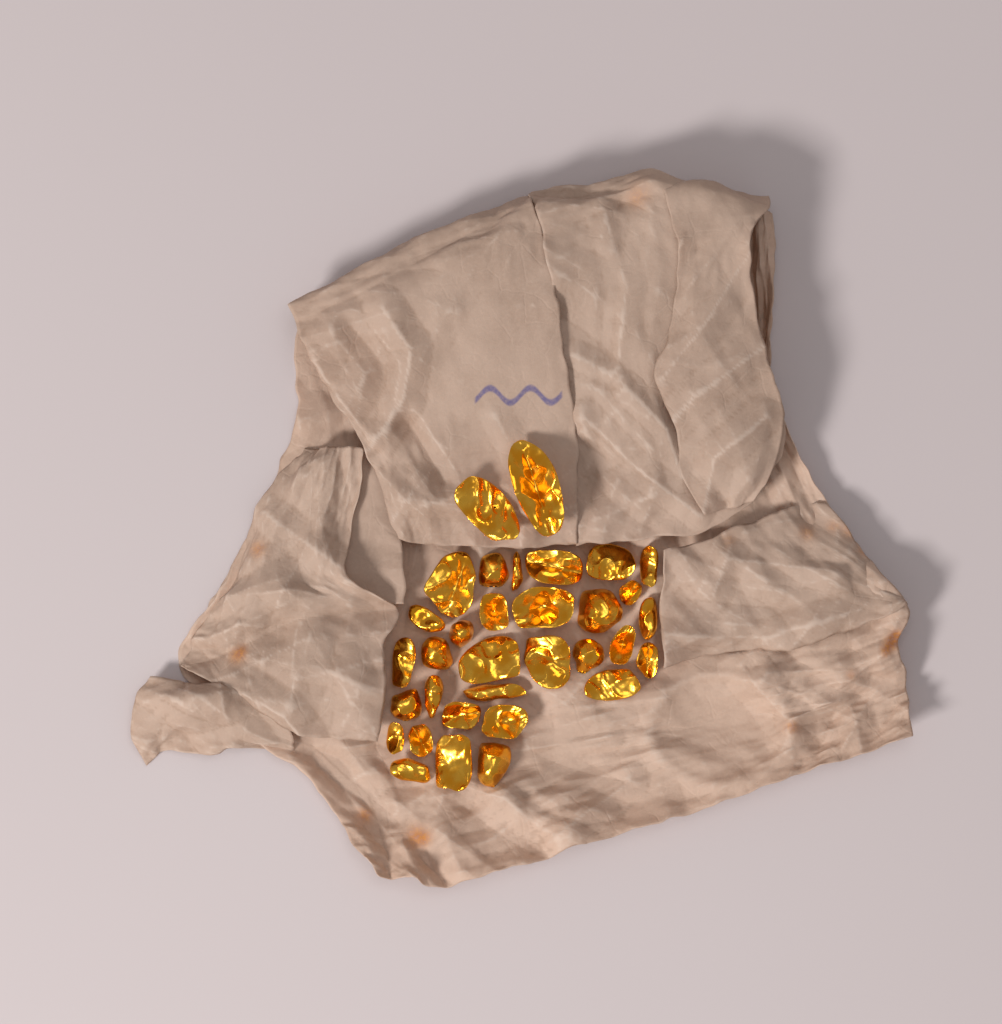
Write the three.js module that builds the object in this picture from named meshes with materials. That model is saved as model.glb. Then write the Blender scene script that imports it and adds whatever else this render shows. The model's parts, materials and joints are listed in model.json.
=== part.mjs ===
// Opened tissue-paper wrap holding loose melted-gold granules.
// Millimetres, +Z up, +X to the right and +Y to the back of the wrap.
// The origin is under the middle of the wrap, on the surface that it lies on.
import * as THREE from "three";

// Driving dimensions
const SHEET = 0.45; // thickness of a paper panel
const GRANULE_GAP = 0.3; // daylight between a granule and the paper under it
const GRANULE_AROUND = 14; // facets around a granule
const GRANULE_RINGS = 7; // facets from the top of a granule to its bottom
const SQUARENESS = 2.7; // power of a granule's rounded outline: 2 is an ellipse
const OUTLINE_SHARE = 0.95; // how much of its rounded rectangle a granule fills
const THREE_LOBES = 0.045; // how far three bulges push the outline in and out
const FIVE_LOBES = 0.03; // and five smaller ones
const SAMPLES = 48; // samples each way when a panel's height is looked up
const SPREAD_STEPS = [1.04, 1.1, 1.17, 1.24, 1.3, 1.37, 1.44, 1.5]; // how far a granule may reach out
const SPREAD_TWO_BULGES = 0.12; // how unevenly it does so, in two bulges
const SPREAD_THREE_BULGES = 0.13; // and in three
const SPREAD_GAP = 0.6; // between two granules that have spread towards each other
const SPREAD_BOUNDS = { left: -16.3, right: 17.1, back: -2.5 }; // the open floor between the flaps
const LIP_LINE = { x: -22.4, y: -37.6, slope: 0.2544, room: 2 }; // crease of the front lip in plan
const SEAT_REACH = 1.5; // around each point, where the paper's height is looked up

const PAPER = new THREE.MeshStandardMaterial({
  color: 0xd3bfb0,
  roughness: 0.85,
  metalness: 0,
});
const GOLD = new THREE.MeshStandardMaterial({
  color: 0xe3a625,
  roughness: 0.18,
  metalness: 1,
});

// Each panel is a net: rows run from the back of the wrap to its front (up and over, for the
// walls of the roll), and each row runs from left to right. Points are [x, y, height].
const FLOOR = [
  [[-27.25, 28, 0.45], [-12.5, 34.75, 0.45], [2.5, 40.5, 0.45], [17.5, 42, 0.45], [31, 39.75, 0.9]],
  [[-28, 21.25, 0.45], [-13.75, 25, 0.45], [2.5, 28.75, 0.45], [17.5, 30, 0.45], [31.25, 30, 1.4]],
  [[-27.5, 13.75, 0.45], [-13.75, 13.75, 0.45], [2.5, 15, 0.45], [17.5, 16.25, 0.45], [32, 16.25, 1.6]],
  [[-31.5, 2.5, 0.45], [-15, 3.75, 0.45], [2.5, 5, 0.45], [18, 5, 0.45], [36.5, 4.75, 2.2]],
  [[-37.25, -7.5, 0.45], [-17.5, -6.25, 0.45], [1.25, -5, 0.45], [20, -3.75, 0.45], [44, -5, 3.3]],
  [[-42, -16.5, 0.6], [-18.75, -15.5, 0.45], [0, -14.5, 0.45], [21.25, -13, 0.6], [47.25, -11.5, 3.7]],
  [[-32.25, -25.5, 1.6], [-16.25, -26.25, 0.45], [0, -24.5, 0.45], [22.5, -22, 0.8], [48, -16, 2.8]],
  [[-22.5, -37.25, 0.9], [-11.25, -34.5, 1.05], [2.5, -31, 1.2], [22.5, -25.75, 1.45], [48.25, -19.25, 1.7]],
];
const ROLL_WALL_LEFT = [
  [[-27.5, 26.5, 0.75], [-12.5, 33, 0.75], [2.75, 39, 0.75]],
  [[-28, 28.5, 4.5], [-12.75, 36, 4.6], [1.5, 41.75, 4.8]],
  [[-27, 25.5, 7.6], [-12.5, 32, 8.6], [2.5, 37.25, 9]],
  [[-25, 20.5, 7], [-11.25, 23.6, 7.7], [4, 27.25, 8.4]],
];
const ROLL_WALL_RIGHT = [
  [[4, 39, 0.75], [13, 40.5, 0.75], [22.5, 40.75, 0.75], [29.75, 40.25, 1.4]],
  [[2.75, 42.25, 4.8], [10, 43, 5], [17.5, 43.75, 5.2], [28.5, 41.25, 5]],
  [[3.75, 37.75, 8.4], [11.5, 39.5, 9.2], [20, 39.75, 9.4], [27.75, 37.5, 9]],
  [[5, 27.6, 8], [13, 29.5, 8.25], [21.25, 31.4, 8.5], [28.5, 33.1, 8.7]],
];
const LABEL_FLAP = [
  [[-24.5, 20, 6.8], [-11.25, 23, 7.5], [4, 26.5, 8.2]],
  [[-21.25, 14.75, 5.6], [-10.5, 15, 6.6], [5.4, 20, 7.2]],
  [[-18.5, 9.75, 4.8], [-9.75, 7.5, 5.4], [6.4, 11.25, 6]],
  [[-15.75, 2, 4.3], [-8, 1.5, 4.7], [7, 3.75, 5.1]],
  [[-14, -1.5, 4], [-6.25, -2, 4.3], [7, -1.5, 4.6]],
];
const BACK_FLAP = [
  [[5.25, 27, 7.8], [13, 28.9, 8.05], [21.25, 30.8, 8.3], [28.75, 32.5, 8.5]],
  [[6.75, 20, 6.6], [14, 20, 7.6], [22.75, 20.25, 8], [30.75, 21.25, 7.4]],
  [[7.5, 11.25, 5.4], [15, 11.25, 6.2], [24, 12, 6.8], [32.5, 13, 6.6]],
  [[8, 3.75, 4.6], [15.25, 4.25, 5.1], [23.25, 5.25, 5.7], [30.5, 7.5, 5.8]],
  [[8, -1.5, 4.2], [15.25, -0.5, 4.6], [22, 1.25, 4.9], [27.25, 3, 5.2]],
];
const LEFT_FLAP = [
  [[-27, 9.25, 1.3], [-25, 9, 2.8], [-23, 8.75, 3.3], [-20.75, 8.5, 3.3]],
  [[-31, 2.5, 1.3], [-28, 2.25, 3.6], [-24, 1.75, 4], [-20.5, 1, 3.9]],
  [[-35, -4.5, 1.3], [-31, -5.25, 4.2], [-25.25, -6.5, 4.5], [-20.5, -7.5, 4.4]],
  [[-38, -10, 1.3], [-33.5, -11.5, 4.2], [-23.75, -10.75, 4.9], [-14.75, -10.5, 4.6]],
  [[-39.75, -13, 1.3], [-33.75, -15.5, 3.8], [-25, -16.25, 4.2], [-16.75, -16.25, 4.2]],
  [[-41.25, -15.5, 1.3], [-33.75, -21.5, 3], [-25.25, -25.5, 3.2], [-17.5, -26.5, 3.6]],
];
const RIGHT_FLAP = [
  [[17.75, -2.25, 4], [23.25, -0.5, 3.4], [30, 1.75, 3.6], [37.75, 3.5, 3.3]],
  [[17.5, -7, 4.6], [24.5, -4.5, 3.8], [33, -2.5, 4.6], [42.25, -2.25, 4.2]],
  [[17.5, -12, 4.8], [26, -9.5, 3.8], [35.25, -7.5, 4.8], [45, -5.75, 4.9]],
  [[17.5, -16.75, 4.6], [27.5, -14.75, 3.6], [37.25, -12.75, 4.8], [47.75, -9.25, 5.6]],
];
const FRONT_LIP = [
  [[-22.25, -37.75, 1], [-11, -35, 1.13], [2.5, -31.5, 1.28], [22.5, -26.25, 1.5], [48.5, -19.75, 1.8]],
  [[-20.25, -39.75, 3.6], [-10.5, -39, 2.8], [3.75, -35.25, 2.6], [23, -30, 2.9], [48.5, -22.75, 3.2]],
  [[-17, -42, 5.2], [-10, -43.6, 4.8], [5, -40, 4.2], [25.25, -33.75, 4.2], [48.5, -25.5, 4.4]],
];
const INNER_FOLD = [
  [[-22.75, 8, 1.6], [-18.5, 8, 2], [-14.75, 7.5, 2.2]],
  [[-23, 1.25, 1.8], [-18.75, 1, 2.3], [-14.5, 0.5, 2.6]],
  [[-22.75, -8, 2], [-18.5, -8.5, 2.6], [-14.25, -9.25, 3]],
];
const CORNER_TWIST = [
  [[-45, -18.75, 1.6], [-40, -19.5, 3.4], [-33.25, -24, 3.2]],
  [[-48.5, -22, 2.2], [-42, -22.25, 5], [-33, -25.25, 4]],
  [[-48.25, -25.5, 1.4], [-42.5, -25.5, 3.4], [-32.75, -26.75, 3.4]],
  [[-46.5, -29.5, 0.9], [-42, -27.75, 1.4], [-32.5, -28, 2.6]],
];

// Granules, one row each: shape, x, y, half length, half width, turn in degrees, height.
const GRANULES_ON_FLOOR = [
  ["leaf", -8.1, -7.4, 3.9, 2.5, 72, 3.4],
  ["dome", -3.4, -5.4, 2, 1.9, 20, 2.4],
  ["pebble", -11.5, -11.3, 2.4, 1.1, -25, 2],
  ["cup", -3.1, -10, 2.3, 1.6, 90, 2.6],
  ["dome", -10.3, -15.4, 2.2, 1.6, 80, 2.4],
  ["dome", -7.4, -12.9, 1.8, 1.4, 65, 4],
  ["curl", -3.6, -16.3, 3.8, 2.8, 15, 3.4],
  ["pebble", -3.7, -20.3, 3.3, 1, 5, 1.8],
  ["leaf", 3.5, -15.9, 3.1, 2.6, -20, 2.8],
  ["leaf", 4.2, -4.6, 3.9, 2.2, -12, 3.4],
  ["cup", 2.9, -9.6, 4.2, 2.5, 5, 3.2],
  ["pebble", -0.4, -5.4, 2.3, 0.6, 85, 2],
  ["curl", 11.2, -4.1, 3.3, 2.4, -10, 3.4],
  ["dome", 9.9, -10, 2.8, 2.8, 30, 3.4],
  ["leaf", 13.7, -7.8, 1.7, 1.2, 50, 2.6],
  ["curl", 16, -4.4, 2.7, 1.2, 85, 3],
  ["pebble", 16, -11.2, 2.7, 1.2, 88, 2.6],
  ["leaf", 15.9, -16, 2.1, 1.3, 85, 2.4],
  ["dome", 8.5, -15.6, 2.1, 1.9, 30, 2.4],
  ["cup", 12.7, -14.4, 2.6, 1.5, 70, 3.2],
  ["curl", 11.5, -19.3, 3.3, 1.9, 8, 2.2],
  ["curl", -14.5, -17, 2.8, 1.1, 85, 2.8],
  ["dome", -14.2, -22, 2.1, 1.8, 40, 2.8],
  ["pebble", -10.9, -20.4, 2.5, 0.9, 82, 2.8],
  ["leaf", -7.2, -23.1, 2.4, 1.7, 10, 2.6],
  ["cup", -2.4, -23.9, 2.4, 2.2, 0, 2.8],
  ["curl", -8.25, -28.9, 3.8, 2.5, 95, 4.2],
  ["dome", -3.6, -29.2, 3, 1.9, 80, 3.2],
  ["leaf", -12.4, -26.3, 2, 1.4, -60, 2.6],
  ["curl", -15.6, -25.9, 2.1, 1.2, 85, 2.4],
  ["pebble", -13.6, -29.9, 2.5, 1.1, -15, 2],
];
const GRANULES_ON_LABEL_FLAP = [
  ["curl", -4, 2.5, 4.6, 2.5, -47, 3.2],
  ["leaf", 2, 5, 5.6, 2.5, -72, 3.4],
];

// How each shape bends: the height of its middle surface over the unit disc (u, v), and its thickness.
const SHAPES = {
  leaf: { bend: (u, v) => 0.9 * Math.abs(v) + 0.2 * u, thickness: 0.3 },
  curl: { bend: (u, v) => 0.8 * u * u - 0.25 * v, thickness: 0.32 },
  cup: { bend: (u, v) => 0.8 * (u * u + v * v), thickness: 0.34 },
  dome: { bend: (u, v) => -0.55 * (u * u + v * v), thickness: 0.5 },
  pebble: { bend: (u, v) => 0.25 * u * v, thickness: 0.6 },
};

function curveThrough(points) {
  return new THREE.CatmullRomCurve3(points.map((p) => (p.isVector3 ? p : new THREE.Vector3(...p))));
}

// The point at share u along the rows and share v across them.
function netPoint(net, u, v) {
  return curveThrough(net.map((row) => curveThrough(row).getPoint(u))).getPoint(v);
}

// The net's outward direction there, from two short steps over it.
function netNormal(net, u, v) {
  const step = 0.01;
  const along = netPoint(net, Math.min(u + step, 1), v).sub(netPoint(net, Math.max(u - step, 0), v));
  const across = netPoint(net, u, Math.min(v + step, 1)).sub(netPoint(net, u, Math.max(v - step, 0)));
  return across.cross(along).normalize();
}

// A closed sheet whose upper side is the net; its thickness goes straight down when it lies flat.
function sheetGeometry(net, columns, rows, liesFlat) {
  const geometry = new THREE.BoxGeometry(1, 1, 1, columns, rows, 1);
  const position = geometry.getAttribute("position");
  const down = new THREE.Vector3(0, 0, 1);
  for (let i = 0; i < position.count; i++) {
    const u = position.getX(i) + 0.5;
    const v = 0.5 - position.getY(i);
    const point = netPoint(net, u, v);
    if (liesFlat) point.z = Math.max(point.z, SHEET);
    if (position.getZ(i) < 0) {
      const normal = liesFlat ? down : netNormal(net, u, v);
      point.addScaledVector(normal, -SHEET);
    }
    position.setXYZ(i, point.x, point.y, point.z);
  }
  geometry.computeVertexNormals();
  return geometry;
}

function panel(name, net, columns, rows, liesFlat = false) {
  const mesh = new THREE.Mesh(sheetGeometry(net, columns, rows, liesFlat), PAPER);
  mesh.name = name;
  return mesh;
}

// Points spread over a net, for looking up how high it is at a place.
function netSamples(net) {
  const samples = [];
  for (let i = 0; i <= SAMPLES; i++) {
    for (let j = 0; j <= SAMPLES; j++) samples.push(netPoint(net, i / SAMPLES, j / SAMPLES));
  }
  return samples;
}

// The highest point of the samples within reach of (x, y).
function heightUnder(samples, x, y, reach) {
  const near = samples.filter((p) => Math.hypot(p.x - x, p.y - y) < reach);
  return Math.max(...near.map((p) => p.z));
}

// How far the outline reaches in a direction, on a unit rounded square with uneven sides.
function outlineReach(angle, number) {
  const [c, s] = [Math.abs(Math.cos(angle)), Math.abs(Math.sin(angle))];
  const square = (c ** SQUARENESS + s ** SQUARENESS) ** (-1 / SQUARENESS);
  const threeLobes = THREE_LOBES * Math.cos(3 * angle + number);
  const fiveLobes = FIVE_LOBES * Math.cos(5 * angle - 2 * number);
  return square * (OUTLINE_SHARE + threeLobes + fiveLobes);
}

// A flattened sphere with an uneven outline, bent to its shape and scaled to its height, base at zero.
function granuleGeometry(shape, halfLength, halfWidth, height, number) {
  const { bend, thickness } = SHAPES[shape];
  const geometry = new THREE.SphereGeometry(1, GRANULE_AROUND, GRANULE_RINGS).rotateX(Math.PI / 2);
  const position = geometry.getAttribute("position");
  for (let i = 0; i < position.count; i++) {
    const x = position.getX(i);
    const y = position.getY(i);
    const z = position.getZ(i);
    const outline = outlineReach(Math.atan2(y, x), number);
    const [u, v] = [x * outline, y * outline];
    position.setXYZ(i, u * halfLength, v * halfWidth, bend(u, v) + thickness * z);
  }
  geometry.computeBoundingBox();
  const { min, max } = geometry.boundingBox;
  geometry.translate(0, 0, -min.z).scale(1, 1, height / (max.z - min.z));
  geometry.computeVertexNormals();
  return geometry;
}

function granule([shape, x, y, halfLength, halfWidth, turn, height], number) {
  const mesh = new THREE.Mesh(granuleGeometry(shape, halfLength, halfWidth, height, number), GOLD);
  mesh.name = "gold_granule_" + String(number).padStart(2, "0");
  mesh.position.set(x, y, 0);
  mesh.rotation.z = THREE.MathUtils.degToRad(turn);
  return mesh;
}

// The mesh's points in the frame of the whole.
function worldPoints(mesh) {
  mesh.updateMatrix();
  const position = mesh.geometry.getAttribute("position");
  const points = [];
  for (let i = 0; i < position.count; i++) {
    points.push(new THREE.Vector3().fromBufferAttribute(position, i).applyMatrix4(mesh.matrix));
  }
  return points;
}

function planDistance(points, x, y) {
  return Math.min(...points.map((p) => Math.hypot(p.x - x, p.y - y)));
}

function onOpenFloor(x, y) {
  const { left, right, back } = SPREAD_BOUNDS;
  const lip = LIP_LINE.y + LIP_LINE.slope * (x - LIP_LINE.x) + LIP_LINE.room;
  return x > left && x < right && y < back && y > lip;
}

// How far out a point may go while it stays nearer its own granule than any other.
function pointGrowth(point, centre, number, own, others, onFloor) {
  const angle = Math.atan2(point.y - centre.y, point.x - centre.x);
  const twoBulges = SPREAD_TWO_BULGES * Math.sin(2 * angle + 1.7 * number);
  const uneven = 1 + twoBulges + SPREAD_THREE_BULGES * Math.sin(3 * angle + 2.9 * number);
  let most = 1;
  for (const step of SPREAD_STEPS) {
    const growth = Math.max(1, step * uneven);
    const x = centre.x + growth * (point.x - centre.x);
    const y = centre.y + growth * (point.y - centre.y);
    const free = planDistance(own, x, y) + SPREAD_GAP < planDistance(others, x, y);
    if (!free || (onFloor && !onOpenFloor(x, y))) break;
    most = growth;
  }
  return most;
}

// Widens a granule unevenly. Each meridian of its sphere moves as one, so that no facets cross.
function spread(mesh, number, own, others, onFloor) {
  const position = mesh.geometry.getAttribute("position");
  const meridians = new Array(GRANULE_AROUND).fill(Infinity);
  const meridianOf = (i) => (i % (GRANULE_AROUND + 1)) % GRANULE_AROUND;
  own.forEach((point, i) => {
    const growth = pointGrowth(point, mesh.position, number, own, others, onFloor);
    meridians[meridianOf(i)] = Math.min(meridians[meridianOf(i)], growth);
  });
  for (let i = 0; i < position.count; i++) {
    const growth = meridians[meridianOf(i)];
    position.setXY(i, position.getX(i) * growth, position.getY(i) * growth);
  }
  mesh.geometry.computeVertexNormals();
}

// Sets a granule down on the paper, clear of it by the gap at every point.
function seat(mesh, samples) {
  const lifts = worldPoints(mesh).map((p) => heightUnder(samples, p.x, p.y, SEAT_REACH) - p.z);
  mesh.position.z = Math.max(...lifts.filter(Number.isFinite)) + GRANULE_GAP;
}

function paperPanels() {
  const paper = new THREE.Group();
  paper.add(panel("wrap_floor", FLOOR, 16, 18, true));
  paper.add(panel("roll_wall_left", ROLL_WALL_LEFT, 8, 7));
  paper.add(panel("roll_wall_right", ROLL_WALL_RIGHT, 8, 7));
  paper.add(panel("label_flap", LABEL_FLAP, 8, 8));
  paper.add(panel("back_flap", BACK_FLAP, 8, 8));
  paper.add(panel("left_flap", LEFT_FLAP, 8, 10));
  paper.add(panel("left_inner_fold", INNER_FOLD, 4, 6));
  paper.add(panel("right_flap", RIGHT_FLAP, 10, 6));
  paper.add(panel("front_lip", FRONT_LIP, 16, 4));
  paper.add(panel("corner_twist", CORNER_TWIST, 6, 6));
  return paper;
}

function goldGranules() {
  const gold = new THREE.Group();
  const rows = [...GRANULES_ON_FLOOR, ...GRANULES_ON_LABEL_FLAP];
  const meshes = rows.map((row, i) => granule(row, i + 1));
  const outlines = meshes.map(worldPoints);
  const [floor, flap] = [netSamples(FLOOR), netSamples(LABEL_FLAP)];
  meshes.forEach((mesh, i) => {
    const onFloor = i < GRANULES_ON_FLOOR.length;
    const others = outlines.filter((_, j) => j !== i).flat();
    spread(mesh, i + 1, outlines[i], others, onFloor);
    seat(mesh, onFloor ? floor : flap);
    gold.add(mesh);
  });
  return gold;
}

const wrap = new THREE.Group();
wrap.add(paperPanels(), goldGranules());

export default wrap;
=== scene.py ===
# Looks of the opened tissue wrap and its gold granules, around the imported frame. Metres.
import json
import math

import bmesh
import bpy
import numpy as np
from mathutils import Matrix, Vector, kdtree, noise

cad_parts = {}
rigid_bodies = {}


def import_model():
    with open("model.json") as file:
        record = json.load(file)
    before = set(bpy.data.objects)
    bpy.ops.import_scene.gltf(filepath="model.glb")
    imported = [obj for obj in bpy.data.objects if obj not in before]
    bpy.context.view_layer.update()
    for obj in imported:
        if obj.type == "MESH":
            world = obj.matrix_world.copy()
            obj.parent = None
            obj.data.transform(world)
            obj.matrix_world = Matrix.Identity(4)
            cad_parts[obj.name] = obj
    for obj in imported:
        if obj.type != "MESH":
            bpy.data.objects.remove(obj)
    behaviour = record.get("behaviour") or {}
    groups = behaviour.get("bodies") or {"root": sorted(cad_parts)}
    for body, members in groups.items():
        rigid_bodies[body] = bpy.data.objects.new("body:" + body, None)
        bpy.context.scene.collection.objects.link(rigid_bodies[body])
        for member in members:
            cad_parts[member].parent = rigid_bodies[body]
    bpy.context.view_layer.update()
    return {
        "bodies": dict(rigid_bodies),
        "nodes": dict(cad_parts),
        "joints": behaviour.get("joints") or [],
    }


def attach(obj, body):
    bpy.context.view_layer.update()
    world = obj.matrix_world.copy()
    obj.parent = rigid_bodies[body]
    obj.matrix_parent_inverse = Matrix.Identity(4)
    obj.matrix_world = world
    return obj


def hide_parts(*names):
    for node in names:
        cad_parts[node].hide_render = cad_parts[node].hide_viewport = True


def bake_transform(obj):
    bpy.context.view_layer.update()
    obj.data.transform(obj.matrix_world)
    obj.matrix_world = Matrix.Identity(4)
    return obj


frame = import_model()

MM = 0.001
BODIES = frame["bodies"]
NODES = frame["nodes"]

# Fineness of the meshes
STEP = 0.36  # mm between the points of a paper panel
GRANULE_LEVELS = 3
PAPER_THICKNESS = 0.1  # mm
END_LAYER_ROOM = 0.55  # mm
LOWEST = 0.15  # mm: the paper's lowest height, which leaves room for its thickness

# The granules
ON_FLAP = ("gold_granule_32", "gold_granule_33")
TILT = 0.12  # how steeply a granule leans, at most
SEAT_GAP = 0.1  # mm, between a granule and the paper it lies on
CUPS = {3: 0.7, 4: 1.1, 11: 1.4, 20: 0.9, 26: 0.6, 32: 0.7, 33: 0.9}  # hollow granules: depths in mm

# Colours
PAPER_COLOURS = ((0.55, 0.40, 0.31), (0.65, 0.49, 0.39), (0.74, 0.58, 0.47))  # shade, light, fibres
# Painted highlight on the ridges of the crumpled relief and painted shade in its valleys
PAPER_RIDGE_HIGHLIGHT, PAPER_VALLEY_SHADE = (0.86, 0.73, 0.63), (0.38, 0.24, 0.16)
# painted light: the tray's single layer of tissue over the pale table drawn lighter in colour
TRAY_PAINTED_LIGHT = 1.16
RIDGE_BEND = 0.13

# How the creases below are drawn out: lower than listed, over wider flanks
CREASE_LIFT, CREASE_SPREAD = 1.3, 1.8
PAPER_THROUGH = (0.80, 0.50, 0.26)
INK = (0.10, 0.11, 0.36)
WAVE = (-5.8, 5.4, 16.6, 0.9, 0.2, 0.42)  # left, right, level, swing (mm), waves in a mm, half width (mm)

# ---------------------------------------------------------------- paper nets
# Rows run from the back of the wrap to its front (up and over, for the roll), and each row from
# left to right. Points are [x, y, height] in mm.
TRAY = [
    [(-27.3, 27.5, 0.5), (-12.5, 34.5, 0.5), (2.5, 40, 0.5), (17.5, 42, 0.5), (28, 41, 0.8), (31.3, 39.5, 2)],
    [(-28.3, 21, 0.5), (-13.5, 25, 0.5), (2.5, 29, 0.5), (17.5, 31, 0.5), (27, 32, 0.8), (31.8, 30, 3)],
    [(-27.9, 14.2, 0.5), (-13.8, 14, 0.5), (2.5, 15, 0.5), (17.5, 16, 0.5), (27, 17, 0.8), (31.6, 17.5, 2)],
    [(-32.2, 2.9, 0.9), (-15, 3.8, 0.5), (2.5, 4, 0.5), (18, 4, 0.5), (30, 4.5, 1.6), (37.6, 4.2, 2.4)],
    [(-37.6, -7.7, 0.9), (-17.5, -6.5, 0.5), (1.2, -5.5, 0.5), (19, -5, 0.6), (33, -4.5, 2.2), (44, -4.4, 3.4)],
    [(-42.6, -16.5, 0.9), (-19, -15.5, 0.5), (0, -14.5, 0.5), (19, -13.5, 0.6), (34, -12, 2.6), (48.2, -9.9, 4.2)],
    [(-33.2, -26, 1.8), (-17, -23.5, 0.6), (0, -21.5, 0.5), (19.5, -19.5, 1), (34, -17, 2.8), (46.8, -14, 4)],
    [(-27.5, -30, 1.4), (-14, -29, 0.6), (1, -27, 0.6), (20.5, -23.5, 1), (35, -20.3, 2.4), (47.8, -17, 3.4)],
    [(-22.6, -36, 1.6), (-11.2, -34.4, 1.1), (2.5, -31.3, 1.2), (22.5, -26.3, 1.5), (36, -23, 2), (48.2, -20, 2.6)],
    [(-20.8, -39, 3.8), (-10.5, -39, 3), (3.5, -35.5, 2.6), (23, -30, 2.9), (37, -26.3, 3.1), (48.5, -22.8, 3.4)],
    [(-17.3, -42.6, 5.2), (-9, -43.9, 4.8), (6, -39.8, 4.2), (24, -34.2, 4.2), (36.5, -29.6, 4.3), (48.8, -25.6, 4.5)],
]
LABEL_ROLL = [
    [(-27.2, 26.5, 0.8), (-20, 29.8, 0.8), (-12.5, 33, 0.8), (-4, 36.3, 0.8), (2.6, 39, 0.8)],
    [(-28.6, 28.3, 4), (-20.8, 32, 4.3), (-12.8, 36, 4.6), (-5, 39, 4.7), (1.3, 41.4, 4.8)],
    [(-28.4, 27.3, 6.6), (-20.6, 31, 7.4), (-12.7, 34.8, 7.8), (-4.8, 37.8, 8.1), (1.6, 40.4, 8.2)],
    [(-27.4, 24.6, 7.6), (-19.8, 27.8, 8.5), (-12.2, 31.2, 9), (-4, 34.5, 9.3), (2.9, 36.4, 9.3)],
    [(-25.9, 21, 6.9), (-18.4, 22.5, 7.6), (-11, 24.5, 8.1), (-3.2, 26.8, 8.5), (4.4, 29, 8.7)],
    [(-23, 16.2, 5.9), (-16.5, 15.8, 6.6), (-10, 16.5, 6.9), (-1.5, 18.6, 7.3), (5.7, 20.5, 7.5)],
    [(-19.6, 10.6, 5), (-14, 9.2, 5.4), (-8.5, 8.5, 5.7), (-0.5, 10.3, 6.1), (6.8, 12.4, 6.3)],
    [(-17.2, 4.6, 4.5), (-12.5, 3.6, 4.8), (-7, 3, 5), (0.2, 4, 5.2), (7.1, 5.4, 5.4)],
    [(-15.2, -1.2, 4.1), (-11, -2, 4.3), (-5.5, -2.1, 4.5), (1, -2.2, 4.6), (7.2, -1.8, 4.7)],
]
BACK_ROLL = [
    [(3.4, 39.2, 0.8), (10, 40.6, 0.8), (17, 41.2, 0.8), (24, 41, 0.8), (29.8, 40.2, 1.6)],
    [(1.9, 41.6, 4.6), (9, 42.9, 5), (16, 43.8, 5.2), (22.5, 42.7, 5.1), (30, 41, 5)],
    [(2.3, 40.6, 7.8), (9.4, 42, 8.3), (16.4, 42.8, 8.6), (23, 41.6, 8.6), (30.3, 39.8, 7.8)],
    [(3.5, 36.6, 8.7), (10.5, 38.4, 9.3), (17.6, 39, 9.4), (23, 38, 9.5), (28.7, 37, 8.9)],
    [(4.9, 29, 8.2), (11.8, 31, 8.8), (19, 31.5, 8.7), (23.5, 31.6, 9.2), (27.6, 32.2, 8.8)],
    [(6.3, 20.5, 7.1), (12.5, 21, 7.8), (18, 21, 7.4), (24, 21.5, 8.4), (30, 22.8, 7.8)],
    [(7.3, 12.4, 5.9), (13, 11.5, 6.4), (19.3, 11.5, 6.2), (26, 12, 7.4), (32.7, 13.2, 6.9)],
    [(7.6, 5.4, 5), (13.5, 4.5, 5.4), (20, 5, 5.4), (26, 6.5, 6.5), (31.6, 7.8, 6.3)],
    [(7.7, -1.8, 4.4), (13, -1.3, 4.7), (18.5, -0.7, 4.9), (23.2, -0.2, 5.2), (28.7, 3.3, 5.7)],
]
LEFT_FLAP = [
    [(-27.1, 10.4, 1), (-25, 10.4, 2.6), (-22.5, 10.4, 3.2), (-19.4, 10.2, 3.4)],
    [(-29.8, 6.2, 1), (-27, 5.8, 3.2), (-23.5, 5.4, 3.7), (-20, 5, 3.9)],
    [(-33.6, 0.2, 1), (-30, 0, 3.6), (-25.5, -0.2, 4.2), (-21, -0.4, 4.2)],
    [(-37, -6, 1), (-32.5, -5.9, 4), (-26.5, -6, 4.5), (-21.3, -6, 4.5)],
    [(-39.2, -10.2, 1), (-33.5, -9.6, 4.1), (-25, -9.2, 4.8), (-15.1, -10, 4.7)],
    [(-40.6, -13.2, 1), (-34.5, -13, 4), (-26, -13, 4.4), (-16.9, -14.2, 4.4)],
    [(-41.8, -15.4, 1), (-35.2, -16.5, 3.6), (-26.5, -19, 4), (-16.6, -20, 4.1)],
    [(-42.4, -17, 1.2), (-35.8, -19.8, 2.8), (-27.5, -25.4, 3), (-17.5, -26.2, 3.6)],
]
RIGHT_FLAP = [
    [(17.6, -2.5, 4.2), (22.5, -1.3, 3.7), (28, 0.8, 3.7), (33.5, 2.8, 3.6), (38, 3.5, 2.7)],
    [(17.6, -6, 4.6), (23.5, -5, 4), (29.5, -3, 4.2), (35.5, -1.4, 4.4), (41.6, -1.4, 3.3)],
    [(17.5, -10, 4.8), (24.5, -8.6, 4.1), (31.5, -6.8, 4.6), (38, -5, 4.8), (44.6, -5.2, 4)],
    [(17.5, -14, 4.7), (26, -12.4, 4), (33.5, -10.5, 4.8), (40.5, -8.6, 5.2), (47.4, -8.5, 4.6)],
    [(17.7, -17, 4.4), (26.5, -15.4, 3.5), (34, -14.8, 4.4), (41, -12.3, 5.2), (48.3, -9.5, 5)],
]
INNER_FOLD = [
    [(-22.5, 9.6, 1.6), (-19, 9.6, 2.2), (-16, 8, 2.6)],
    [(-22.8, 2, 1.8), (-19, 1.5, 2.5), (-15, 0.5, 3)],
    [(-22.5, -4, 2), (-18.6, -4, 2.8), (-14.4, -4, 3.3)],
    [(-22, -9, 2), (-18, -9.2, 2.9), (-14.3, -9.4, 3.4)],
]
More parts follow.
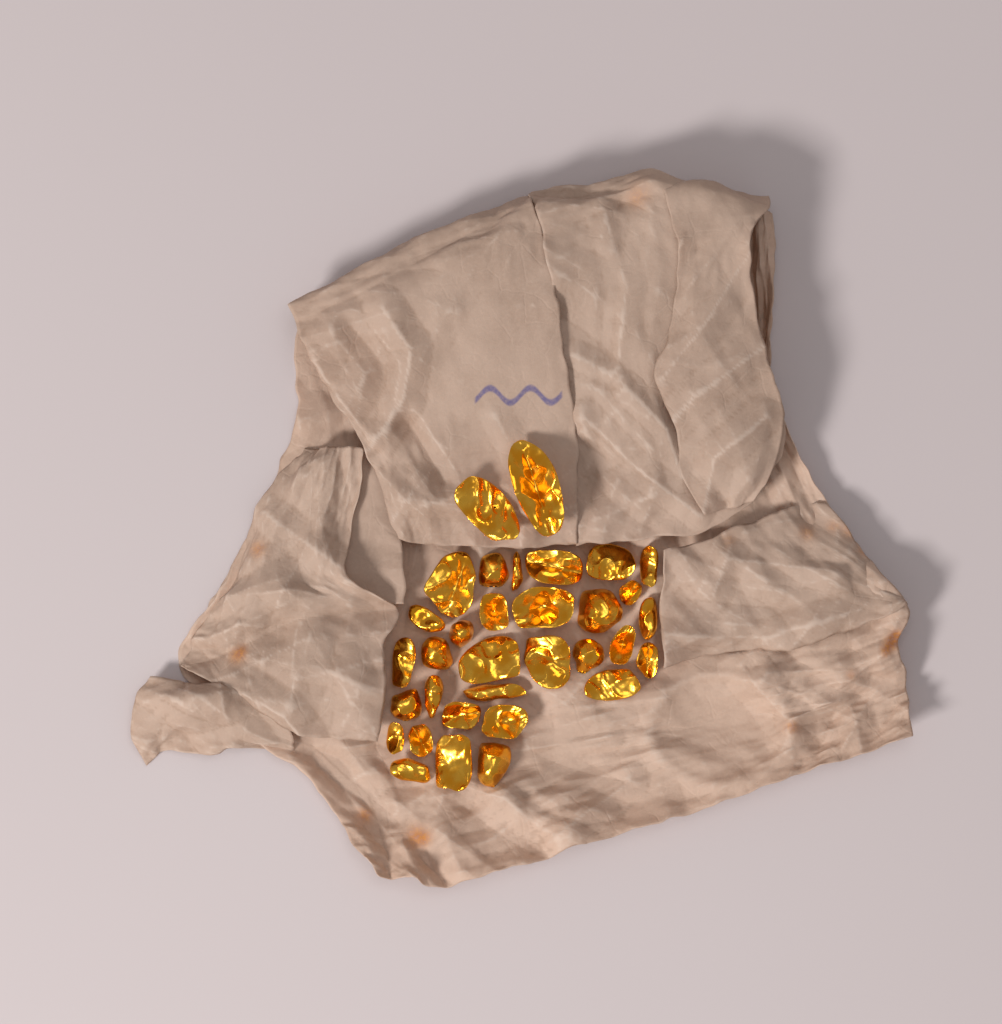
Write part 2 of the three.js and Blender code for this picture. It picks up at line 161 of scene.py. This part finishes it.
TWIST = [
    [(-45.8, -18.6, 1.8), (-42, -18.2, 3.6), (-38, -19, 4), (-34, -20.4, 3.6), (-29, -23.2, 3)],
    [(-47.8, -20.8, 2.4), (-43, -20.8, 5), (-38.5, -21, 5), (-34.2, -22.3, 4.4), (-28.6, -25, 3.4)],
    [(-48.5, -23.6, 1.8), (-43.5, -24, 4), (-38.5, -24, 4), (-34, -24.8, 3.4), (-28.2, -26.6, 2.6)],
    [(-47.8, -27, 1.4), (-43.8, -26, 2.4), (-39, -26, 2.4), (-34, -26.2, 2.2), (-28.4, -27.6, 2)],
    [(-46.6, -29.5, 1), (-43.8, -27.7, 1.4), (-39.4, -27.8, 1.6), (-34, -27, 1.6), (-28.8, -28.4, 1.5)],
]

# The layer folded over the right end of the roll
END_LAYER = [
    [(17.5, 42.2, 5.4), (24, 43, 5.6), (30.6, 41.4, 5.4)],
    [(17.6, 41.8, 8.9), (24, 41.9, 9.1), (30.9, 40.2, 8.2)],
    [(18.9, 37, 9.8), (24, 37.2, 9.9), (29, 37.9, 9.4)],
    [(19.4, 33.5, 9.6), (23.6, 33.5, 9.8), (28.2, 34, 9.4)],
    [(19, 28.4, 9.3), (23.5, 28, 9.6), (29, 27.6, 9.2)],
    [(17.9, 23.2, 8.9), (23.8, 22.6, 9.2), (30, 22.8, 8.6)],
    [(16.6, 18.7, 8.4), (24.5, 17.6, 8.9), (31.7, 17.4, 8.1)],
    [(19.5, 11.9, 7.4), (26, 12, 8.2), (32.6, 13.4, 7.5)],
    [(19.7, 7.2, 6.7), (26, 6.8, 7.4), (31.5, 8, 6.9)],
    [(22.9, 2.2, 6), (26, 2.4, 6.4), (28.8, 3.4, 6.3)],
]

# Creases: points in plan (mm), height (mm, below zero for a valley) and half width (mm).
TRAY_CREASES = [
    ([(-1.2, -27.7), (11, -25.9)], 0.6, 1.1),
    ([(-12, -30), (-2, -34), (4.7, -38.6)], 0.6, 1.3),
    ([(4.7, -38.6), (13.6, -31.2)], 0.8, 1.3),
    ([(34.5, -23.6), (44.9, -15.2)], 1, 1.6),
    ([(27.7, -17), (33.7, -24.1)], 1, 1.8),
    ([(31, -17.7), (41.4, -17.2)], 0.7, 1.3),
    ([(-26, -27), (-19, -33), (-16, -41)], -0.8, 1.6),
    ([(36, 2), (43, -6), (46.5, -10)], 0.6, 1.4),
    ([(0, -18), (12, -20)], 0.4, 1.2),
]
LABEL_CREASES = [
    ([(-25.4, 20.9), (-18.9, 11.4)], 0.7, 1.2),
    ([(-16.9, 27.5), (-13.5, 22.5), (-14.4, 16.2), (-18.7, 10)], 0.9, 1.5),
    ([(-14.1, 12.9), (-9.5, 5.9)], -0.8, 1.1),
    ([(-21, 25), (-17, 20), (-18, 14)], -0.7, 1.2),
    ([(-14, 4), (-6, 3), (4, 2)], 0.4, 1.2),
    ([(-3, 14), (1, 6), (2, -2)], 0.35, 1.2),
]
BACK_CREASES = [
    ([(6.7, 21.6), (11.2, 19.2)], 0.5, 1),
    ([(13.1, 17.6), (18, 12.6), (20, 6.5)], 0.7, 1.1),
    ([(10, 40), (13, 30), (12, 20)], 0.5, 1.4),
    ([(8, 14), (14, 8), (22, 2)], 0.6, 1.2),
]
END_CREASES = [
    ([(28.1, 34.2), (22.5, 25), (17.5, 18.7)], 0.5, 1.5),
    ([(30, 22.7), (21.2, 16.2), (18, 12.6)], 0.6, 1.5),
    ([(22.7, 2.2), (24, 9), (30, 14)], 0.8, 1.4),
    ([(21, 39), (22, 31), (20, 26)], -0.25, 1.2),
]
LEFT_CREASES = [
    ([(-43.1, -17.7), (-35.5, -15), (-27.5, -11.2), (-14.9, -9.9)], -0.9, 1.4),
    ([(-39.2, -18.5), (-34.2, -20.1), (-29.2, -23), (-27.2, -26.2)], 0.9, 1.8),
    ([(-31.5, 1.9), (-23.7, -3.7), (-21.2, -5.6)], 0.6, 1.4),
    ([(-38.1, -8.7), (-28.7, -7.5), (-21.2, -8.7)], 0.5, 1.3),
    ([(-25.6, 8.1), (-26.5, -2), (-30, -9)], 0.5, 1.3),
    ([(-33, -16), (-25, -17), (-17, -20)], 0.4, 1.2),
]
RIGHT_CREASES = [
    ([(24.2, 2.2), (26.2, -1.9), (24, -8)], 0.6, 1.3),
    ([(26.2, -3.7), (37.5, -5), (46.9, -8.7)], 0.7, 1.4),
    ([(21.2, -8.7), (32.5, -10), (41.2, -7.5)], -0.6, 1.3),
    ([(18, -13), (30, -13.5), (42, -10)], 0.5, 1.2),
]
# Smooth parts: x, y and radius in mm
CALM = {"paper_label_roll": (1, 20, 13), "paper_tray": (24.9, -24.9, 8)}
DISH = (24.9, -24.9, 8.5, 0.9)  # the round hollow pressed into the front right: x, y, radius, depth

STAINS = [  # x, y, radius, strength
    (-32.5, -2.5, 1, 0.6), (-35.4, -15.7, 1, 0.7), (-34.8, -15.2, 0.7, 0.5), (-19.4, -35.5, 0.9, 0.8),
    (-13, -38.1, 1.2, 0.9), (-11.8, -38.3, 0.8, 0.6), (33.9, -25.1, 0.8, 0.7), (41.1, -17.7, 0.6, 0.5),
    (46, -14, 0.8, 1), (46.6, -13.2, 0.7, 1), (45.3, -14.8, 0.6, 0.8), (35.7, -0.2, 1, 0.5),
    (38.9, 0.4, 0.7, 0.4), (40.9, -0.2, 0.9, 0.5), (42.6, -2.5, 0.7, 0.4), (26, -1.4, 0.8, 0.3),
    (14.4, 41.2, 1.5, 0.4),
]


def catmull(points, t):
    """Points at the shares t of an even Catmull-Rom curve through the points."""
    p = np.asarray(points, float)
    p = np.concatenate([[2 * p[0] - p[1]], p, [2 * p[-1] - p[-2]]])
    s = np.clip(np.asarray(t) * (len(p) - 3), 0, len(p) - 3 - 1e-9)
    i = s.astype(int)
    f = (s - i).reshape((-1,) + (1,) * (p.ndim - 1))
    a, b, c, d = p[i], p[i + 1], p[i + 2], p[i + 3]
    return 0.5 * (2 * b + (c - a) * f + (2 * a - 5 * b + 4 * c - d) * f**2 + (3 * b - a - 3 * c + d) * f**3)


def net_grid(net, columns, rows):
    """The net as a fine grid of points, rows x columns x 3, in mm."""
    fine_rows = np.array([catmull(row, np.linspace(0, 1, columns)) for row in net])
    return catmull(fine_rows, np.linspace(0, 1, rows))


def net_size(net):
    """How long and wide a net is, in mm."""
    grid = net_grid(net, 20, 20)
    along = np.linalg.norm(np.diff(grid, axis=1), axis=2).sum(1).max()
    across = np.linalg.norm(np.diff(grid, axis=0), axis=2).sum(0).max()
    return along, across


def crease_height(x, y, creases):
    """The sum of the creases' heights over the points."""
    total = np.zeros_like(x)
    for line, height, width in creases:
        nearest = np.full_like(x, 1e9)
        for (ax, ay), (bx, by) in zip(line, line[1:]):
            dx, dy = bx - ax, by - ay
            t = np.clip(((x - ax) * dx + (y - ay) * dy) / (dx * dx + dy * dy), 0, 1)
            nearest = np.minimum(nearest, np.hypot(x - ax - t * dx, y - ay - t * dy))
        total += CREASE_LIFT * height * np.clip(1 - nearest / (CREASE_SPREAD * width), 0, 1)
    return total


def smooth_noise(points, scale, rng):
    """Soft noise from about -1 to 1 over points in the flat sheet, in mm."""
    total = np.zeros(len(points))
    for _ in range(7):
        angle, length = rng.uniform(0, 2 * math.pi), scale * rng.uniform(0.7, 1.6)
        along = points @ (math.cos(angle), math.sin(angle))
        total += np.sin(2 * math.pi * along / length + rng.uniform(0, 2 * math.pi))
    return total / 3


def crumple(points, seed, amount):
    """Folded facets: straight creases in many directions, each fading in and out over the sheet."""
    rng = np.random.default_rng(seed)
    total = np.zeros(len(points))
    coarse = [(length, 0.045) for length in np.geomspace(5.5, 20, 10)]
    fine = [(length, 0.018) for length in np.geomspace(1.6, 4, 8)]
    for length, steepness in coarse + fine:
        angle = rng.uniform(0, math.pi)
        along = points @ (math.cos(angle), math.sin(angle)) / length
        along += 0.06 * smooth_noise(points, 2.2 * length, rng) + rng.uniform()
        folds = np.abs(2 * (along - np.floor(along + 0.5))) * 2 - 1
        reach = np.clip(0.4 + 0.9 * smooth_noise(points, max(2.6 * length, 16), rng), 0, 1)
        total += steepness * length * folds * reach
    return total * amount


def calm_share(name, points):
    """Less crumpling near the middle of a piece's smooth part."""
    if name == "paper_back_roll":
        return 1 - 0.85 * np.clip((points[:, 0] - 16) / 4, 0, 1)
    if name not in CALM:
        return 1.0
    x, y, radius = CALM[name]
    away = np.hypot(points[:, 0] - x, points[:, 1] - y) / radius
    return 0.3 + 0.7 * np.clip(away - 0.3, 0, 1)


def dish(points):
    x, y, radius, depth = DISH
    away = np.hypot(points[:, 0] - x, (points[:, 1] - y) * 1.3) / radius
    rim = 0.5 * depth * np.exp(-(((away - 1.05) / 0.14) ** 2))
    return rim - depth * np.clip(1 - away**2, 0, 1) ** 1.5


def grid_mesh(name, points, attributes):
    """A mesh from a grid of points in mm, with its rest place kept for the textures."""
    rows, columns = points.shape[:2]
    flat = points.reshape(-1, 3) * MM
    faces = [
        (r * columns + c, (r + 1) * columns + c, (r + 1) * columns + c + 1, r * columns + c + 1)
        for r in range(rows - 1)
        for c in range(columns - 1)
    ]
    mesh = bpy.data.meshes.new(name)
    mesh.from_pydata(flat.tolist(), [], faces)
    mesh.shade_smooth()
    for key, values in attributes.items():
        kind = "FLOAT_VECTOR" if values.ndim == 2 else "FLOAT"
        attribute = mesh.attributes.new(key, kind, "POINT")
        attribute.data.foreach_set("vector" if values.ndim == 2 else "value", values.astype(np.float32).ravel())
    return mesh


def edge_fade(rows, columns, step, reach):
    """0 at the border of a grid, rising to 1 at reach mm inside it."""
    r = np.minimum(np.arange(rows), np.arange(rows)[::-1])[:, None] * step
    c = np.minimum(np.arange(columns), np.arange(columns)[::-1])[None, :] * step
    return np.clip(np.minimum(r, c) / reach, 0, 1)


def paper_panel(name, net, seed, creases=(), amount=1.0, material=None):
    """A crumpled sheet that follows a net."""
    width, length = net_size(net)
    columns, rows = int(width / STEP) + 2, int(length / STEP) + 2
    grid = net_grid(net, columns, rows)
    du = np.gradient(grid, axis=1)
    dv = np.gradient(grid, axis=0)
    normal = np.cross(dv, du)
    normal /= np.linalg.norm(normal, axis=2)[:, :, None]
    flat = grid.reshape(-1, 3)
    sheet_x, sheet_y = np.meshgrid(np.linspace(0, width, columns), np.linspace(0, length, rows))
    sheet = np.stack([sheet_x.ravel(), sheet_y.ravel()], axis=1)
    relief = crumple(sheet, seed, amount) * calm_share(name, flat)
    relief += crease_height(flat[:, 0], flat[:, 1], creases)
    if name == "paper_tray":
        relief += dish(flat)
    points = grid + normal * relief.reshape(rows, columns, 1)
    # how the relief bends: it sets the painted highlight on the ridges and the painted shade in the valleys
    ridge = ridges(relief.reshape(rows, columns))
    # ragged edges
    rag = np.array([noise.noise_vector(Vector(p) / 2.2 + Vector((seed, 0, 0))) for p in flat])
    rag = rag.reshape(rows, columns, 3) * (1 - edge_fade(rows, columns, STEP, 2.5))[:, :, None]
    points += rag * np.array([0.35, 0.35, 0.3])
    points[:, :, 2] = np.maximum(points[:, :, 2], LOWEST)
    mesh = grid_mesh(name, points, {"rest": flat, "stain": stain_strength(flat), "ridge": ridge.ravel()})
    obj = bpy.data.objects.new(name, mesh)
    bpy.context.scene.collection.objects.link(obj)
    thick = obj.modifiers.new("thickness", "SOLIDIFY")
    thick.thickness = PAPER_THICKNESS * MM
    thick.offset = -1
    obj.data.materials.append(material or PAPER)
    if material == INKED_PAPER:
        obj.data.materials.append(PAPER)
        thick.material_offset = thick.material_offset_rim = 1
    return obj


def ridges(relief):
    """Where the relief bends: towards 1 on a ridge, towards -1 in a valley."""
    padded = np.pad(relief, 1, mode="edge")
    around = padded[:-2, 1:-1] + padded[2:, 1:-1] + padded[1:-1, :-2] + padded[1:-1, 2:]
    return np.clip((relief - around / 4) / (RIDGE_BEND * STEP), -1, 1)


def stain_strength(points):
    total = np.zeros(len(points))
    for x, y, radius, strength in STAINS:
        total += strength * np.exp(-((points[:, 0] - x) ** 2 + (points[:, 1] - y) ** 2) / radius**2)
    return np.clip(total, 0, 1)


# ---------------------------------------------------------------- materials
class Nodes:
    """A short way to build a material's nodes."""

    def __init__(self, name):
        self.material = bpy.data.materials.new(name)
        self.material.use_nodes = True
        self.tree = self.material.node_tree
        self.shader = self.tree.nodes["Principled BSDF"]
        self.output = self.tree.nodes["Material Output"]

    def add(self, kind, inputs=(), **settings):
        node = self.tree.nodes.new("ShaderNode" + kind)
        for key, value in settings.items():
            setattr(node, key, value)
        for key, value in dict(inputs).items():
            if isinstance(value, bpy.types.NodeSocket):
                self.tree.links.new(value, node.inputs[key])
            else:
                node.inputs[key].default_value = value
        return node

    def math(self, operation, a, b=0.0, clamp=False):
        return self.add("Math", {0: a, 1: b}, operation=operation, use_clamp=clamp).outputs[0]

    def ramp(self, value, low, high, to_low=0.0, to_high=1.0):
        node = self.add("MapRange", {"Value": value, 1: low, 2: high, 3: to_low, 4: to_high})
        node.interpolation_type = "SMOOTHSTEP"
        return node.outputs[0]

    def mix(self, share, a, b, blend="MIX"):
        node = self.add("Mix", data_type="RGBA", blend_type=blend)
        for key, value in ((0, share), (6, a), (7, b)):
            if isinstance(value, bpy.types.NodeSocket):
                self.tree.links.new(value, node.inputs[key])
            else:
                node.inputs[key].default_value = value if key == 0 else (*value, 1)
        return node.outputs[2]

    def link(self, socket, to):
        self.tree.links.new(socket, to)


def paper_material(name, inked=False, painted_light=1.0):
    """Tissue. A factor above 1 paints light into the colours, for the parts that lie in one layer on the pale table
    and let its light through.
    """
    n = Nodes(name)
    shade, light, fibre_colour = (tuple(painted_light * c for c in colour) for colour in PAPER_COLOURS)
    ridge = n.add("Attribute", attribute_name="ridge").outputs["Fac"]
    rest = n.add("Attribute", attribute_name="rest").outputs["Vector"]
    stain = n.add("Attribute", attribute_name="stain").outputs["Fac"]
    cloud = n.add("TexNoise", {"Vector": rest, "Scale": 0.09, "Detail": 5, "Roughness": 0.6}).outputs["Fac"]
    fibre = n.add("TexNoise", {"Vector": rest, "Scale": 2.4, "Detail": 9, "Roughness": 0.72}).outputs["Fac"]
    bent = n.add("TexNoise", {"Vector": rest, "Scale": 0.5, "Detail": 3}).outputs["Color"]
    warped = n.add("VectorMath", {0: rest, 1: bent}, operation="ADD").outputs[0]
    fine = n.add("TexVoronoi", {"Vector": warped, "Scale": 0.62}, feature="DISTANCE_TO_EDGE").outputs["Distance"]
    large = n.add("TexVoronoi", {"Vector": warped, "Scale": 0.24}, feature="DISTANCE_TO_EDGE").outputs["Distance"]
    here = n.ramp(cloud, 0.5, 0.66)
    elsewhere = n.math("SUBTRACT", 1.0, here)
    fine = n.math("MAXIMUM", n.ramp(fine, 0, 0.16), elsewhere)
    large = n.math("MAXIMUM", n.ramp(large, 0, 0.05), n.ramp(cloud, 0.45, 0.55))
    colour = n.mix(n.ramp(cloud, 0.32, 0.68), shade, light)
    colour = n.mix(n.ramp(fibre, 0.38, 0.68, 0, 0.3), colour, fibre_colour)
    worn = n.math("MULTIPLY", n.math("SUBTRACT", 1.0, large), 0.12)
    colour = n.mix(worn, colour, fibre_colour)
    # painted highlight on the ridges and painted shade in the valleys of the relief
    colour = n.mix(n.ramp(ridge, 0.1, 1, 0, 0.46), colour, PAPER_RIDGE_HIGHLIGHT)
    colour = n.mix(n.ramp(ridge, -1, -0.1, 0.34, 0), colour, PAPER_VALLEY_SHADE)
    rust = n.mix(n.ramp(fibre, 0.4, 0.6), (0.62, 0.17, 0.02), (0.78, 0.36, 0.10))
    colour = n.mix(n.math("MULTIPLY", stain, n.ramp(fibre, 0.35, 0.6, 0.45, 1)), colour, rust)
    if inked:
        colour = n.mix(pen_wave(n, rest, fibre), colour, INK)
    height = n.math("ADD", n.math("MULTIPLY", fibre, 0.22), n.math("MULTIPLY", fine, 0.12))
    height = n.math("ADD", height, n.math("MULTIPLY", large, 0.14))
    bump = n.add("Bump", {"Height": height, "Strength": 0.45, "Distance": 0.0003})
    n.link(colour, n.shader.inputs["Base Color"])
    n.link(bump.outputs[0], n.shader.inputs["Normal"])
    n.link(n.ramp(fibre, 0.3, 0.7, 0.5, 0.72), n.shader.inputs["Roughness"])
    n.shader.inputs["Specular IOR Level"].default_value = 0.4
    through = n.add("BsdfTranslucent", {"Color": n.mix(0.5, colour, PAPER_THROUGH), "Normal": bump.outputs[0]})
    both = n.add("MixShader", {0: 0.3, 1: n.shader.outputs[0], 2: through.outputs[0]})
    n.link(both.outputs[0], n.output.inputs["Surface"])
    return n.material


def pen_wave(n, rest, fibre):
    """How inked the paper is: a plain wavy pen line, soft at its edges where the ink spread."""
    left, right, level, swing, turns_per_mm, half_width = WAVE
    place = n.add("SeparateXYZ", {0: rest}).outputs
    wave = n.math("SINE", n.math("MULTIPLY", place["X"], 2 * math.pi * turns_per_mm))
    line = n.math("ADD", n.math("MULTIPLY", wave, swing), level)
    away = n.math("ABSOLUTE", n.math("SUBTRACT", place["Y"], line))
    near = n.ramp(away, half_width * 0.5, half_width * 1.4, 0.8, 0)
    inside = n.math("MULTIPLY", n.ramp(place["X"], left, left + 0.4), n.ramp(place["X"], right - 0.4, right, 1, 0))
    uneven = n.ramp(fibre, 0.3, 0.6, 0.6, 1)
    return n.math("MULTIPLY", n.math("MULTIPLY", near, inside), uneven)


def gold_material():
    n = Nodes("melted_gold")
    place = n.add("TexCoord").outputs["Object"]
    patches = n.add("TexNoise", {"Vector": place, "Scale": 420, "Detail": 4}).outputs["Fac"]
    skin = n.add("TexNoise", {"Vector": place, "Scale": 1500, "Detail": 4, "Roughness": 0.5}).outputs["Fac"]
    colour = n.mix(n.ramp(patches, 0.35, 0.65), (1.0, 0.43, 0.025), (1.0, 0.56, 0.07))
    n.link(colour, n.shader.inputs["Base Color"])
    n.link(n.ramp(patches, 0.3, 0.75, 0.16, 0.30), n.shader.inputs["Roughness"])
    height = n.math("ADD", n.math("MULTIPLY", patches, 0.6), n.math("MULTIPLY", skin, 0.25))
    bump = n.add("Bump", {"Height": height, "Strength": 0.26, "Distance": 0.0004})
    n.link(bump.outputs[0], n.shader.inputs["Normal"])
    n.shader.inputs["Metallic"].default_value = 1
    return n.material


PAPER = paper_material("tissue_paper")
# a lighter copy of the paper for the tray: painted light from the pale table under the single sheet
TRAY_PAPER_PAINTED_LIGHT = paper_material("tissue_paper_tray", painted_light=TRAY_PAINTED_LIGHT)
INKED_PAPER = paper_material("tissue_paper_inked", inked=True)
GOLD = gold_material()


# ---------------------------------------------------------------- the sheet
def hinge_of(body):
    joint = next(j for j in frame["joints"] if j["child"] == body and j["type"] == "hinge")
    return Vector(joint["pos_m"]), Vector(joint["axis"]).normalized()


def bend_across(obj, flap, inward):
    """Works out the flap's hinge and a direction from inward across its axis, then bakes the piece's place into its
    mesh; the piece is not bent across the crease.
    """
    at, axis = hinge_of(flap)
    direction = Vector(inward)
    direction -= axis * direction.dot(axis)
    direction.normalize()
    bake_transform(obj)


def under_label(net):
    """The net with its left edge brought just under the edge of the label flap."""
    return [[(row[0][0] - 0.8, row[0][1], row[0][2] - 0.3)] + row[1:] for row in net]


def under_end_layer(net):
    """The net with its two right columns a little lower, under the layer folded over them."""
    return [row[:3] + [(x, y, z - END_LAYER_ROOM) for x, y, z in row[3:]] for row in net]


def build_paper():
    tray = paper_panel("paper_tray", TRAY, 1, TRAY_CREASES, 0.9, material=TRAY_PAPER_PAINTED_LIGHT)
    label = paper_panel("paper_label_roll", LABEL_ROLL, 2, LABEL_CREASES, 0.75, material=INKED_PAPER)
    back = paper_panel("paper_back_roll", under_label(under_end_layer(BACK_ROLL)), 3, BACK_CREASES, 0.9)
    end = paper_panel("paper_roll_end_layer", END_LAYER, 8, END_CREASES, 0.6)
    left = paper_panel("paper_left_flap", LEFT_FLAP, 4, LEFT_CREASES, 0.9)
    right = paper_panel("paper_right_flap", RIGHT_FLAP, 5, RIGHT_CREASES, 0.9)
    inner = paper_panel("paper_inner_fold", INNER_FOLD, 6, (), 0.4)
    twist = paper_panel("paper_corner_twist", TWIST, 7, (), 1.3)
    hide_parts("wrap_floor", "front_lip")
    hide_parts("roll_wall_left", "label_flap")
    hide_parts("roll_wall_right", "back_flap")
    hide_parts("left_flap")
    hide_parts("right_flap")
    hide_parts("left_inner_fold")
    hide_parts("corner_twist")
    bend_across(tray, "front_lip", (0, -1, 0))
    bend_across(label, "label_flap", (0, -1, 0))
    bend_across(back, "back_flap", (0, -1, 0))
    bend_across(end, "back_flap", (0, -1, 0))
    bend_across(left, "left_flap", (1, 0, 0))
    bend_across(right, "right_flap", (-1, 0, 0))
    for piece in (inner, twist):
        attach(piece, "wrap")
    return tray, label


# ---------------------------------------------------------------- the gold
def vertex_array(mesh):
    places = np.empty(len(mesh.vertices) * 3)
    mesh.vertices.foreach_get("co", places)
    return places.reshape(-1, 3)


def leaning(places, number):
    """The granule tipped a little: its points raised or lowered by their place in plan."""
    slope = TILT * np.array([math.sin(number * 2.4), math.cos(number * 3.3)])
    result = places.copy()
    result[:, 2] += (places - places.mean(0))[:, :2] @ slope
    result[:, 2] += places[:, 2].min() - result[:, 2].min()
    return result


def granule_shape(places, normals, number):
    """Folds, lobes and dimples, as gold has that was poured and has shrunk. Mostly up and down."""
    offset = Vector((number * 3.7, number * 8.3, number * 1.9))
    moves = np.empty(len(places))
    for i, place in enumerate(places):
        q = Vector(place) + offset
        lobe = noise.noise(q / 3.1)
        sharp = (1 - abs(noise.noise(q / 2.3 + offset))) ** 4
        pit = min(noise.voronoi(q / 1.5)[0][0], 0.6)
        moves[i] = 0.5 * lobe + 0.4 * (sharp - 0.4) + 0.25 * (pit - 0.35)
    push = normals * moves[:, None]
    push[:, :2] *= 0.12
    moved = places + push
    if number in CUPS:
        low, high = places.min(0), places.max(0)
        away = (2 * places[:, :2] - low[:2] - high[:2]) / (high - low)[:2]
        hollow = CUPS[number] * np.exp(-(away**2).sum(1) / 0.22)
        moved[:, 2] -= hollow * np.clip(normals[:, 2], 0, 1)
    moved[:, 2] = np.maximum(moved[:, 2], places[:, 2].min() - 0.05)
    return moved


def surface_of(paper):
    """The paper's points by their place in plan, and their heights, in mm."""
    points = vertex_array(paper.data) / MM
    tree = kdtree.KDTree(len(points))
    for i, (x, y, _) in enumerate(points):
        tree.insert((x, y, 0), i)
    tree.balance()
    return tree, points[:, 2]


def seated(places, surface):
    """The granule with no point below the paper that it lies on."""
    tree, heights = surface
    result = places.copy()
    for i, (x, y, z) in enumerate(places):
        near = [index for _, index, _ in tree.find_n((x, y, 0), 4)]
        result[i, 2] = max(z, heights[near].max() + SEAT_GAP)
    return result


def granule_piece(node, number, surface):
    mesh = node.data.copy()
    obj = bpy.data.objects.new("melted_" + node.name, mesh)
    bpy.context.scene.collection.objects.link(obj)
    work = bmesh.new()
    work.from_mesh(mesh)
    bmesh.ops.remove_doubles(work, verts=work.verts, dist=1e-6)
    work.to_mesh(mesh)
    work.free()
    # the CAD mesh brings its own facets' normals, which would show through the new shape
    if "custom_normal" in mesh.attributes:
        mesh.attributes.remove(mesh.attributes["custom_normal"])
    mesh.vertices.foreach_set("co", (leaning(vertex_array(mesh) / MM, number) * MM).ravel())
    smooth = obj.modifiers.new("smooth", "SUBSURF")
    smooth.levels = smooth.render_levels = GRANULE_LEVELS
    evaluated = obj.evaluated_get(bpy.context.evaluated_depsgraph_get())
    mesh = bpy.data.meshes.new_from_object(evaluated)
    obj.modifiers.clear()
    obj.data = mesh
    normals = np.empty(len(mesh.vertices) * 3)
    mesh.vertex_normals.foreach_get("vector", normals)
    moved = seated(granule_shape(vertex_array(mesh) / MM, normals.reshape(-1, 3), number), surface)
    mesh.vertices.foreach_set("co", (moved * MM).ravel())
    mesh.update()
    mesh.shade_smooth()
    mesh.materials.clear()
    mesh.materials.append(GOLD)
    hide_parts(node.name)
    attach(obj, node.name)


def build_gold(tray, label):
    bodies = sorted(b for b in BODIES if b.startswith("gold_granule_"))
    floor_surface, flap_surface = surface_of(tray), surface_of(label)
    for body in bodies:
        surface = flap_surface if body in ON_FLAP else floor_surface
        granule_piece(NODES[body], int(body[-2:]), surface)


# ---------------------------------------------------------------- stage, light, camera
def floor_material():
    n = Nodes("backdrop")
    coords = n.add("TexCoord").outputs["Object"]
    soft = n.add("TexNoise", {"Vector": coords, "Scale": 3}).outputs["Fac"]
    n.link(n.mix(n.ramp(soft, 0.3, 0.7), (0.59, 0.53, 0.54), (0.62, 0.56, 0.57)), n.shader.inputs["Base Color"])
    n.shader.inputs["Roughness"].default_value = 0.9
    return n.material


def build_stage():
    mesh = bpy.data.meshes.new("backdrop")
    s = 2.0
    mesh.from_pydata([(-s, -s, 0), (s, -s, 0), (s, s, 0), (-s, s, 0)], [], [(0, 1, 2, 3)])
    floor = bpy.data.objects.new("backdrop", mesh)
    mesh.materials.append(floor_material())
    bpy.context.scene.collection.objects.link(floor)


def area_light(name, place, size, watts, colour=(1, 1, 1)):
    data = bpy.data.lights.new(name, "AREA")
    data.size = size
    data.energy = watts
    data.color = colour
    obj = bpy.data.objects.new(name, data)
    obj.location = place
    obj.rotation_euler = (-Vector(place)).to_track_quat("-Z", "Y").to_euler()
    bpy.context.scene.collection.objects.link(obj)


def build_light():
    area_light("key", (-0.44, -0.36, 0.46), 0.15, 4.3, (1, 0.97, 0.94))
    area_light("fill", (0.08, 0.14, 0.8), 0.42, 1.2)
    world = bpy.data.worlds.new("studio")
    world.use_nodes = True
    background = world.node_tree.nodes["Background"]
    background.inputs["Color"].default_value = (1, 0.93, 0.91, 1)
    background.inputs["Strength"].default_value = 0.31
    bpy.context.scene.world = world


def build_camera():
    """Straight down, with the wrap's middle a little right of and below the picture's."""
    frame_height, distance, sensor = 0.128, 0.6, 36
    data = bpy.data.cameras.new("camera")
    data.sensor_width = sensor
    data.lens = sensor * distance / frame_height
    camera = bpy.data.objects.new("camera", data)
    camera.location = (-0.0024, 0.0022, distance)
    bpy.context.scene.collection.objects.link(camera)
    bpy.context.scene.camera = camera


tray_paper, label_paper = build_paper()
build_gold(tray_paper, label_paper)
build_stage()
build_light()
build_camera()
bpy.context.scene.view_settings.view_transform = "Standard"

bpy.context.view_layer.update()
